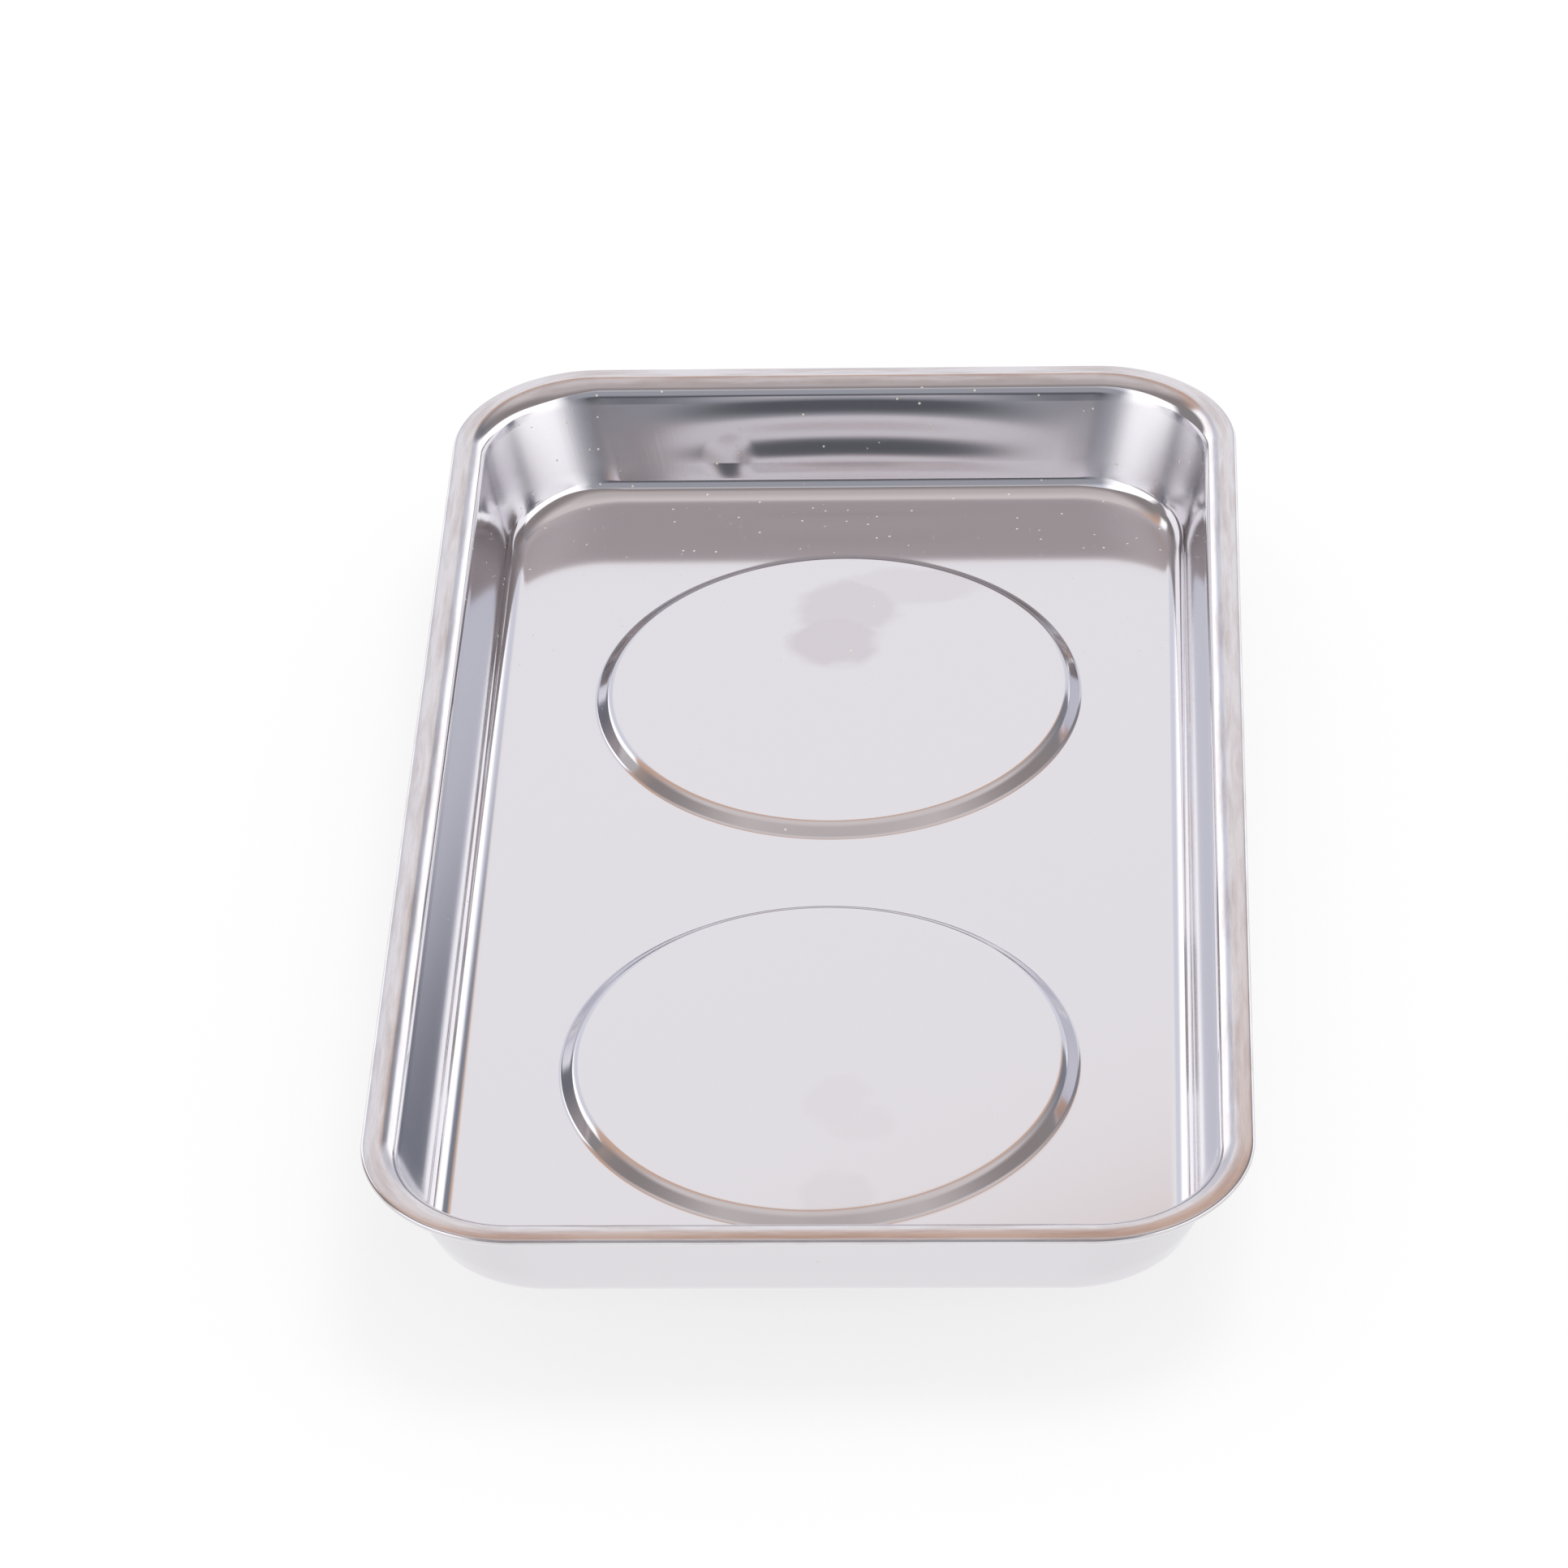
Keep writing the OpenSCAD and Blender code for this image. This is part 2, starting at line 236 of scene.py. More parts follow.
def handling_marks(tree, place):
    """A mask of the soft-edged smudges that fingers left on the seats."""
    fray = 7 * MM
    wander = 6 * MM
    middle = (0.5, 0.5, 0.5)
    core = 0.72
    fringe = 1.08
    noise = node(tree, "TexNoise", {"Vector": place, "Scale": 1 / fray, "Detail": 4.0}).outputs["Color"]
    shift = node(tree, "VectorMath", {0: noise, 1: middle}, operation="SUBTRACT").outputs[0]
    frayed = node(tree, "VectorMath", {0: shift, 1: (wander, wander, 0), 2: place},
                  operation="MULTIPLY_ADD").outputs[0]
    mask = 0.0
    for x, y, across, along, strength in MARKS:
        centre = (x * MM, y * MM, 0)
        spread = (1 / (across * MM), 1 / (along * MM), 0)
        offset = node(tree, "VectorMath", {0: frayed, 1: centre}, operation="SUBTRACT").outputs[0]
        share = node(tree, "VectorMath", {0: offset, 1: spread}, operation="MULTIPLY").outputs[0]
        reach = node(tree, "VectorMath", {0: share}, operation="LENGTH").outputs[1]
        mark = node(tree, "MapRange", {0: reach, 1: core, 2: fringe, 3: strength, 4: 0.0},
                    interpolation_type="SMOOTHSTEP").outputs[0]
        mask = node(tree, "Math", {0: mask, 1: mark}, operation="MAXIMUM").outputs[0]
    return mask


def wall_waves(tree, place, height, around, corner):
    """Heights in millimetres of what pressing leaves in the walls: waves, a bulge, a dent and drawn lines."""
    buckle_size = (45 * MM, 12 * MM, 90 * MM)
    buckle_height = 0.03
    ripple_start = 24.8 * MM
    ripple_end = 17.2 * MM
    ripple_height = 0.055
    ripple_bow = 600 * MM
    bulge_height = 0.1
    dent_place = (-21 * MM, 111.5 * MM, 14.5 * MM)
    dent_radius = 5.5 * MM
    dent_depth = 0.15
    # Real drawn lines are about 0.1 mm wide and are drawn five times coarser, so that they show
    line_size = (0.5 * MM, 40 * MM, 200 * MM)
    line_depth = 0.0022
    corner_line_depth = 0.005

    split = node(tree, "SeparateXYZ", {0: place}).outputs
    across = node(tree, "Math", {0: split["X"]}, operation="ABSOLUTE").outputs[0]
    along = node(tree, "CombineXYZ", {0: around, 1: height, 2: split["X"]}).outputs[0]

    # A ripple along the end walls that bows down from the middle and fades towards the corners
    square = node(tree, "Math", {0: split["X"], 1: split["X"]}, operation="MULTIPLY").outputs[0]
    bowed = node(tree, "Math", {0: square, 1: 1 / ripple_bow, 2: height},
                 operation="MULTIPLY_ADD").outputs[0]
    turn = node(tree, "MapRange", {0: bowed, 1: ripple_start, 2: ripple_end, 3: 0.0, 4: 2 * math.pi},
                clamp=False).outputs[0]
    ripple = node(tree, "Math", {0: turn}, operation="SINE").outputs[0]
    middle = node(tree, "MapRange", {0: across, 1: 40 * MM, 2: 6 * MM, 3: 0.0, 4: ripple_height},
                  interpolation_type="SMOOTHSTEP").outputs[0]
    waves = node(tree, "Math", {0: ripple, 1: middle}, operation="MULTIPLY").outputs[0]

    # A bulge along the long walls
    level = node(tree, "MapRange", {0: height, 1: 11 * MM, 2: 27 * MM, 3: -1.0, 4: 1.0}).outputs[0]
    curve = node(tree, "Math", {0: level, 1: level}, operation="MULTIPLY").outputs[0]
    sides = node(tree, "MapRange", {0: across, 1: 50 * MM, 2: 58 * MM, 3: 0.0, 4: -bulge_height},
                 interpolation_type="SMOOTHSTEP").outputs[0]
    waves = node(tree, "Math", {0: curve, 1: sides, 2: waves}, operation="MULTIPLY_ADD").outputs[0]

    # A dent in the rear wall, broad buckles everywhere and the lines, which are deeper in the corners
    aside = node(tree, "VectorMath", {0: place, 1: dent_place}, operation="DISTANCE").outputs[1]
    dent = node(tree, "MapRange", {0: aside, 1: 0.0, 2: dent_radius, 3: -dent_depth, 4: 0.0},
                interpolation_type="SMOOTHSTEP").outputs[0]
    waves = node(tree, "Math", {0: waves, 1: dent}, operation="ADD").outputs[0]
    broad = node(tree, "VectorMath", {0: along, 1: buckle_size}, operation="DIVIDE").outputs[0]
    buckle = node(tree, "TexNoise", {"Vector": broad, "Scale": 1.0, "Detail": 1.0}).outputs[0]
    waves = node(tree, "Math", {0: buckle, 1: buckle_height, 2: waves}, operation="MULTIPLY_ADD").outputs[0]
    fine = node(tree, "VectorMath", {0: along, 1: line_size}, operation="DIVIDE").outputs[0]
    drawn = node(tree, "TexNoise", {"Vector": fine, "Scale": 1.0, "Detail": 2.0}).outputs[0]
    depth = node(tree, "MapRange", {
        0: corner, 1: 0.0, 2: 1.0, 3: line_depth, 4: corner_line_depth,
    }).outputs[0]
    return node(tree, "Math", {0: drawn, 1: depth, 2: waves}, operation="MULTIPLY_ADD").outputs[0]


def fallen_dust(tree, place, rim):
    """A mask of the dust specks in the dish, which lie thicker towards the rear and not on the rim."""
    spacing = 1.9 * MM
    speck_core = 0.08
    speck_fringe = 0.13
    bare_front = 0.985
    bare_rear = 0.66
    cells = node(tree, "TexVoronoi", {"Vector": place, "Scale": 1 / spacing, "Randomness": 1.0}).outputs
    speck = node(tree, "MapRange", {
        0: cells["Distance"], 1: speck_core, 2: speck_fringe, 3: 1.0, 4: 0.0,
    }).outputs[0]
    rear = node(tree, "SeparateXYZ", {0: place}).outputs["Y"]
    bare = node(tree, "MapRange", {
        0: rear, 1: 30 * MM, 2: 110 * MM, 3: bare_front, 4: bare_rear,
    }).outputs[0]
    lot = node(tree, "SeparateColor", {0: cells["Color"]}).outputs["Red"]
    kept = node(tree, "Math", {0: lot, 1: bare}, operation="GREATER_THAN").outputs[0]
    kept = node(tree, "MapRange", {0: rim, 1: 0.0, 2: 0.1, 3: kept, 4: 0.0}).outputs[0]
    return node(tree, "Math", {0: speck, 1: kept}, operation="MULTIPLY").outputs[0]


def polished_stainless(dish, colours):
    """Stainless sheet, pressed and buffed: a mirror that waves in the walls and is stained at the rim."""
    streak_size = (16 * MM, 1.6 * MM, 1)
    floor_roughness = 0.085
    wall_roughness = 0.105
    corner_roughness = 0.27
    rim_roughness = 0.15
    smudge_roughness = 0.1
    dust_roughness = 0.7

    material = new_material("polished_stainless_sheet")
    tree = material.node_tree
    place = node(tree, "TexCoord").outputs["Object"]
    height = node(tree, "SeparateXYZ", {0: place}).outputs["Z"]
    around = node(tree, "Attribute", attribute_name="around").outputs["Fac"]
    outward = node(tree, "Attribute", attribute_name="outward").outputs["Fac"]

    # Masks of the walls, the rim and the four corners
    floor_z = dish.rim_top - dish.depth
    wall_foot = floor_z + 1.1 * dish.floor_fillet
    wall_top = dish.rim_top - 1.5 * dish.rim_bend
    rim_foot = dish.rim_top - 0.5 * dish.rim_bend
    foot_fade = dish.floor_fillet
    top_fade = 0.6 * dish.rim_bend
    rim_fade = 0.35 * dish.rim_bend
    lower = node(tree, "MapRange", {
        0: height, 1: wall_foot, 2: wall_foot + foot_fade, 3: 0.0, 4: 1.0,
    }).outputs[0]
    wall = node(tree, "MapRange", {
        0: height, 1: wall_top, 2: wall_top + top_fade, 3: lower, 4: 0.0,
    }).outputs[0]
    rim = node(tree, "MapRange", {
        0: height, 1: rim_foot, 2: rim_foot + rim_fade, 3: 0.0, 4: 1.0,
    }).outputs[0]
    arc = math.pi / 2 * dish.corner_radius
    corner = node(tree, "MapRange", {0: around, 1: -4 * MM, 2: 6 * MM, 3: 0.0, 4: 1.0}).outputs[0]
    corner = node(tree, "MapRange", {
        0: around, 1: arc - 6 * MM, 2: arc + 4 * MM, 3: corner, 4: 0.0,
    }).outputs[0]

    waves = wall_waves(tree, place, height, around, corner)
    relief = node(tree, "Math", {0: waves, 1: wall}, operation="MULTIPLY").outputs[0]
    bump = node(tree, "Bump", {"Height": relief, "Distance": MM, "Strength": 1.0}).outputs[0]

    streaks = node(tree, "CombineXYZ", {0: around, 1: outward}).outputs[0]
    streaks = node(tree, "VectorMath", {0: streaks, 1: streak_size}, operation="DIVIDE").outputs[0]
    blotch = node(tree, "TexNoise", {
        "Vector": streaks, "Scale": 1.0, "Detail": 5.0, "Roughness": 0.65,
    }).outputs[0]
    stained = node(tree, "MapRange", {0: blotch, 1: 0.42, 2: 0.72, 3: 0.05, 4: 0.5}).outputs[0]
    stained = node(tree, "Math", {0: stained, 1: rim}, operation="MULTIPLY").outputs[0]
    marks = handling_marks(tree, place)
    dust = fallen_dust(tree, place, rim)

    tone = (*colours.stainless, 1)
    for mask, tint in ((stained, colours.stain), (marks, colours.smudge), (dust, colours.dust)):
        tone = node(tree, "Mix", {0: mask, 6: tone, 7: (*tint, 1)}, data_type="RGBA").outputs[2]
    haze = node(tree, "MapRange", {
        0: corner, 1: 0.0, 2: 1.0, 3: wall_roughness, 4: corner_roughness,
    }).outputs[0]
    gloss = node(tree, "MapRange", {0: wall, 1: 0.0, 2: 1.0, 3: floor_roughness, 4: haze}).outputs[0]
    gloss = node(tree, "MapRange", {0: rim, 1: 0.0, 2: 1.0, 3: gloss, 4: rim_roughness}).outputs[0]
    for mask, added in ((marks, smudge_roughness), (dust, dust_roughness)):
        gloss = node(tree, "Math", {0: mask, 1: added, 2: gloss}, operation="MULTIPLY_ADD").outputs[0]
    metal = node(tree, "Math", {0: 1.0, 1: dust}, operation="SUBTRACT").outputs[0]
    shader = node(tree, "BsdfPrincipled", {
        "Base Color": tone, "Metallic": metal, "Roughness": gloss, "Normal": bump,
    })
    node(tree, "OutputMaterial", {"Surface": shader.outputs["BSDF"]})
    return material


def moulded_rubber(colours):
    """Black nitrile rubber: a matt skin with the mould's fine grain, a grey bloom and a rubbed underside."""
    cloud_size = 9 * MM
    # The real grain is about 0.05 mm and is drawn five times coarser, so that it shows
    grain_size = 0.25 * MM
    grain_depth = 0.03 * MM
    material = new_material("moulded_nitrile_rubber")
    tree = material.node_tree
    place = node(tree, "TexCoord").outputs["Object"]
    height = node(tree, "SeparateXYZ", {0: place}).outputs["Z"]
    cloud = node(tree, "TexNoise", {"Vector": place, "Scale": 1 / cloud_size, "Detail": 4.0}).outputs[0]
    grain = node(tree, "TexNoise", {"Vector": place, "Scale": 1 / grain_size, "Detail": 2.0}).outputs[0]
    rubbed = node(tree, "MapRange", {0: height, 1: 0.05 * MM, 2: 0.4 * MM, 3: 0.5, 4: 0.0}).outputs[0]
    bloom = node(tree, "MapRange", {0: cloud, 1: 0.45, 2: 0.75, 3: 0.0, 4: 0.55}).outputs[0]
    bloom = node(tree, "Math", {0: bloom, 1: rubbed}, operation="MAXIMUM").outputs[0]
    tone = node(tree, "Mix", {0: bloom, 6: (*colours.rubber, 1), 7: (*colours.rubber_bloom, 1)},
                data_type="RGBA").outputs[2]
    gloss = node(tree, "MapRange", {0: cloud, 1: 0.3, 2: 0.7, 3: 0.52, 4: 0.7}).outputs[0]
    bump = node(tree, "Bump", {"Height": grain, "Distance": grain_depth, "Strength": 1.0}).outputs[0]
    shader = node(tree, "BsdfPrincipled", {
        "Base Color": tone, "Roughness": gloss, "Normal": bump, "IOR": 1.52,
    })
    node(tree, "OutputMaterial", {"Surface": shader.outputs["BSDF"]})
    return material


def zinc_plate(colours):
    """Bright zinc plate on steel: a satin sheen with a passivated, faintly straw-tinted skin."""
    cloud_size = 2.5 * MM
    # The plate's crystals are a few hundredths of a millimetre and are drawn coarser, so that they show
    crystal_size = 0.12 * MM
    crystal_depth = 0.006 * MM
    material = new_material("zinc_plated_steel")
    tree = material.node_tree
    place = node(tree, "TexCoord").outputs["Object"]
    cloud = node(tree, "TexNoise", {"Vector": place, "Scale": 1 / cloud_size, "Detail": 3.0}).outputs[0]
    crystal = node(tree, "TexNoise", {"Vector": place, "Scale": 1 / crystal_size, "Detail": 2.0}).outputs[0]
    tinted = node(tree, "MapRange", {0: cloud, 1: 0.4, 2: 0.7, 3: 0.0, 4: 0.8}).outputs[0]
    tone = node(tree, "Mix", {0: tinted, 6: (*colours.zinc, 1), 7: (*colours.zinc_tint, 1)},
                data_type="RGBA").outputs[2]
    gloss = node(tree, "MapRange", {0: crystal, 1: 0.3, 2: 0.7, 3: 0.26, 4: 0.42}).outputs[0]
    bump = node(tree, "Bump", {"Height": crystal, "Distance": crystal_depth, "Strength": 1.0}).outputs[0]
    shader = node(tree, "BsdfPrincipled", {
        "Base Color": tone, "Metallic": 1.0, "Roughness": gloss, "Normal": bump,
    })
    node(tree, "OutputMaterial", {"Surface": shader.outputs["BSDF"]})
    return material


def ground_ferrite(colours):
    """Sintered ferrite, ground on its faces: dark grey and matt, with fine pits that painted shade darkens.
    """
    cloud_size = 6 * MM
    pit_spacing = 0.6 * MM
    pit_depth = 0.03 * MM
    # Painted shade in the pits: the share of the ferrite's tone that is left at a pit's middle
    painted_pit_shade = 0.6
    material = new_material("ground_ferrite")
    tree = material.node_tree
    place = node(tree, "TexCoord").outputs["Object"]
    cloud = node(tree, "TexNoise", {"Vector": place, "Scale": 1 / cloud_size, "Detail": 3.0}).outputs[0]
    pits = node(tree, "TexVoronoi", {"Vector": place, "Scale": 1 / pit_spacing}).outputs["Distance"]
    pitted = node(tree, "MapRange", {0: pits, 1: 0.05, 2: 0.3, 3: 0.0, 4: 1.0}).outputs[0]
    gloss = node(tree, "MapRange", {0: cloud, 1: 0.3, 2: 0.7, 3: 0.55, 4: 0.75}).outputs[0]
    # Painted shade: the pits are drawn darker than the ground faces round them
    dark = tuple(painted_pit_shade * c for c in colours.ferrite)
    tone = node(tree, "Mix", {0: pitted, 6: (*dark, 1), 7: (*colours.ferrite, 1)},
                data_type="RGBA").outputs[2]
    bump = node(tree, "Bump", {"Height": pitted, "Distance": pit_depth, "Strength": 1.0}).outputs[0]
    shader = node(tree, "BsdfPrincipled", {"Base Color": tone, "Roughness": gloss, "Normal": bump})
    node(tree, "OutputMaterial", {"Surface": shader.outputs["BSDF"]})
    return material


def only(geometry, kind):
    """The verts, edges or faces among an operator's results."""
    return [g for g in geometry if isinstance(g, kind)]


def draw_section(bm, start, runs):
    """Draws a section across Y: a vector is a straight run, and a centre, degrees and steps are a bend."""
    vert = bm.verts.new(start)
    for run in runs:
        if isinstance(run, Vector):
            made = bmesh.ops.extrude_vert_indiv(bm, verts=[vert])["verts"]
            bmesh.ops.translate(bm, verts=made, vec=run)
        else:
            centre, degrees, steps = run
            spun = bmesh.ops.spin(bm, geom=[vert], cent=centre, axis=(0, -1, 0), steps=steps,
                                  angle=math.radians(degrees))
            made = only(spun["geom_last"], bmesh.types.BMVert)
        vert = made[0]


def flat_run(offset):
    """A straight run with a narrow strip at each end, which keeps the curves' shading out of it."""
    strip = offset.normalized() * FLAT_STRIP
    return strip, offset - 2 * strip, strip


def ring_section(bm, inner, outer, low, high, edge):
    """Draws the closed section of a flat ring with rounded edges."""
    run = Vector((outer - inner - 2 * edge, 0, 0))
    rise = Vector((0, 0, high - low - 2 * edge))
    draw_section(bm, (inner + edge, 0, low), (
        run,
        ((outer - edge, 0, low + edge), 90, LIP_STEPS),
        rise,
        ((outer - edge, 0, high - edge), 90, LIP_STEPS),
        -run,
        ((inner + edge, 0, high - edge), 90, LIP_STEPS),
        -rise,
        ((inner + edge, 0, low + edge), 90, LIP_STEPS),
    ))
    bmesh.ops.remove_doubles(bm, verts=bm.verts[:], dist=MERGE)


def revolve(bm, steps):
    """Spins a drawn section into a closed ring about the upright axis."""
    bmesh.ops.remove_doubles(bm, verts=bm.verts[:], dist=MERGE)
    bmesh.ops.spin(bm, geom=bm.verts[:] + bm.edges[:], cent=(0, 0, 0), axis=UP, angle=2 * math.pi,
                   steps=steps, use_merge=True)


def mesh_object(bm, name, material, sharp_degrees):
    """Turns a bmesh into a smooth-shaded piece that keeps its sharp edges."""
    mesh = bpy.data.meshes.new(name)
    bm.to_mesh(mesh)
    bm.free()
    mesh.materials.append(material)
    mesh.shade_smooth()
    mesh.set_sharp_from_angle(angle=math.radians(sharp_degrees))
    piece = bpy.data.objects.new(name, mesh)
    bpy.context.scene.collection.objects.link(piece)
    return piece


def seat_axis(end):
    """Where the axis of the front or the rear seat stands on the table."""
    low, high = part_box(f"{end}_rubber_boot")
    return Vector(((low.x + high.x) / 2, (low.y + high.y) / 2, 0))


def seated_piece(bm, end, name, material, sharp_degrees, cad_node):
    """Sets a piece that was drawn about the upright axis on the axis of a seat, in place of its CAD node."""
    bmesh.ops.translate(bm, verts=bm.verts[:], vec=seat_axis(end))
    bmesh.ops.recalc_face_normals(bm, faces=bm.faces[:])
    piece = mesh_object(bm, f"{end}_{name}", material, sharp_degrees)
    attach(piece, "root")
    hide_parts(f"{end}_{cad_node}")


class PARTSTRAY_OT_press_dish(bpy.types.Operator):
    """Press the dish from one sheet, with its hemmed rim and its two seats"""

    bl_idname = "parts_tray.press_dish"
    bl_label = "Press Dish"

    corner_steps: face_count("Corner steps", "Faces round each corner", 40)
    seat_steps: face_count("Seat steps", "Faces round each seat", 160)

    def wall_section(self, bm, dish):
        """Draws the sheet's section from the inner floor over the hem and back to the floor's underside."""
        bend_steps = 20
        crown_steps = 6
        hem_steps = 28
        inner_hem_steps = 12
        inner_bend_steps = 16
        floor_lead = Vector((0.5 * MM, 0, 0))
        crown_radius = dish.rim_flat / dish.rim_crown
        crown_side = Vector((math.sin(dish.rim_crown), 0, math.cos(dish.rim_crown)))
        crown_reach = (crown_radius - dish.hem_radius) * crown_side
        crown_degrees = math.degrees(dish.rim_crown)
        hem_x = dish.corner_radius - dish.hem_radius
        crown = Vector((hem_x - crown_reach.x, 0, dish.depth - crown_radius))
        hem = crown + crown_reach
        bend = Vector((crown.x, 0, dish.depth - dish.rim_bend))
        fillet = Vector((bend.x - dish.rim_bend - dish.floor_fillet, 0, dish.floor_fillet))
        wall_rise = Vector((0, 0, bend.z - fillet.z))
        leaf_run = Vector((-dish.hem_leaf, 0, 0))

        draw_section(bm, Vector((fillet.x, 0, 0)) - floor_lead, (
            floor_lead,
            (fillet, 90, bend_steps),
            *flat_run(wall_rise),
            (bend, -90, bend_steps),
            (crown, -crown_degrees, crown_steps),
            (hem, crown_degrees - 180, hem_steps),
            *flat_run(leaf_run),
            Vector((0, 0, dish.sheet)),
            *flat_run(-leaf_run),
            (hem, 180 - crown_degrees, inner_hem_steps),
            (crown, crown_degrees, crown_steps),
            (bend, 90, inner_bend_steps),
            *flat_run(-wall_rise),
            (fillet, -90, bend_steps),
            -floor_lead,
        ))
        return hem.z

    def wall(self, bm, dish):
        """Spins the section round a corner, runs the walls on to the middle lines and mirrors the quarter."""
        around = bm.verts.layers.float.new("around")
        outward = bm.verts.layers.float.new("outward")
        hem_z = self.wall_section(bm, dish)
        side_lean = math.tan(dish.side_draft)
        end_lean = math.tan(dish.end_draft)
        corner = Vector((
            dish.width / 2 - dish.corner_radius - dish.hem_radius * (1 / math.cos(dish.side_draft) - 1),
            dish.length / 2 - dish.corner_radius - dish.hem_radius * (1 / math.cos(dish.end_draft) - 1),
            0,
        ))
        first_verts = list(bm.verts)
        first_edges = list(bm.edges)
        spun = bmesh.ops.spin(bm, geom=first_verts + first_edges, cent=(0, 0, 0), axis=UP,
                              angle=math.pi / 2, steps=self.corner_steps)
        last_edges = only(spun["geom_last"], bmesh.types.BMEdge)
        ends = []
        runs = ((first_edges, Vector((0, -corner.y, 0))), (last_edges, Vector((-corner.x, 0, 0))))
        for edges, along in runs:
            grown = bmesh.ops.extrude_edge_only(bm, edges=edges)["geom"]
            verts = only(grown, bmesh.types.BMVert)
            bmesh.ops.translate(bm, verts=verts, vec=along)
            ends.append(verts)
        for vert in bm.verts:
            x, y = vert.co.xy
            turn = math.atan2(max(y, 0), max(x, 0))
            vert[around] = min(y, 0) + turn * dish.corner_radius - min(x, 0)
            vert[outward] = math.hypot(max(x, 0), max(y, 0))
        lean = Matrix((
            (1, 0, side_lean, -side_lean * hem_z),
            (0, 1, end_lean, -end_lean * hem_z),
            (0, 0, 1, 0),
            (0, 0, 0, 1),
        ))
        bmesh.ops.transform(bm, matrix=Matrix.Translation(corner) @ lean, verts=bm.verts[:])
        bmesh.ops.scale(bm, vec=(1, 0, 1), verts=ends[0])
        bmesh.ops.scale(bm, vec=(0, 1, 1), verts=ends[1])
        for axis in "XY":
            quarter = bm.verts[:] + bm.edges[:] + bm.faces[:]
            bmesh.ops.mirror(bm, geom=quarter, merge_dist=MIRROR_MERGE, axis=axis)

    def seat(self, bm, dish, place):
        """Spins one seat's raised ring out of the floor, both faces of the sheet."""
        slope = math.atan2(dish.seat_height, dish.seat_slope_run)
        edge_tangent = dish.seat_round * math.tan(slope / 2)
        foot_tangent = dish.seat_foot * math.tan(slope / 2)
        top_radius = (BOOT_HIGH.x - BOOT_LOW.x) / 2 + dish.seat_clearance
        edge = Vector((top_radius - edge_tangent, 0, dish.seat_height - dish.seat_round))
        foot = Vector((top_radius + dish.seat_slope_run + foot_tangent, 0, dish.seat_foot))
        lead = Vector((0.5 * MM, 0, 0))
        bend_steps = 16
        slope_length = math.hypot(dish.seat_height, dish.seat_slope_run) - edge_tangent - foot_tangent
        slope_run = slope_length * Vector((math.cos(slope), 0, -math.sin(slope)))
        older = set(bm.verts)
        for drop in (0, dish.sheet):
            draw_section(bm, Vector((edge.x, 0, dish.seat_height - drop)) - lead, (
                lead,
                (edge, -math.degrees(slope), bend_steps),
                slope_run,
                (foot, math.degrees(slope), bend_steps),
                lead,
            ))
        verts = [v for v in bm.verts if v not in older]
        edges = list({e for v in verts for e in v.link_edges})
        bmesh.ops.translate(bm, verts=verts, vec=place)
        bmesh.ops.spin(bm, geom=verts + edges, cent=place, axis=UP, angle=2 * math.pi, steps=self.seat_steps,
                       use_merge=True)

    def floor(self, bm, dish):
        """Closes the flat faces that the walls and the rings of the seats leave open."""
        for level, fill in ((0, bmesh.ops.triangle_fill), (dish.seat_height, bmesh.ops.edgeloop_fill)):
            for z in (level, level - dish.sheet):
                border = [e for e in bm.edges if e.is_boundary]
                fill(bm, edges=[e for e in border if all(abs(v.co.z - z) < LEVEL for v in e.verts)])

    def execute(self, context):
        settings = context.scene.parts_tray
        dish = settings.dish
        bm = bmesh.new()
        self.wall(bm, dish)
        for end in ENDS:
            self.seat(bm, dish, seat_axis(end))
        self.floor(bm, dish)
        bmesh.ops.translate(bm, verts=bm.verts[:], vec=(0, 0, dish.rim_top - dish.depth))
        bmesh.ops.recalc_face_normals(bm, faces=bm.faces[:])
        pan = mesh_object(bm, "pressed_dish", polished_stainless(dish, settings.colours), sharp_degrees=35)
        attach(pan, "root")
        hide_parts("tray_pan")
        return {"FINISHED"}


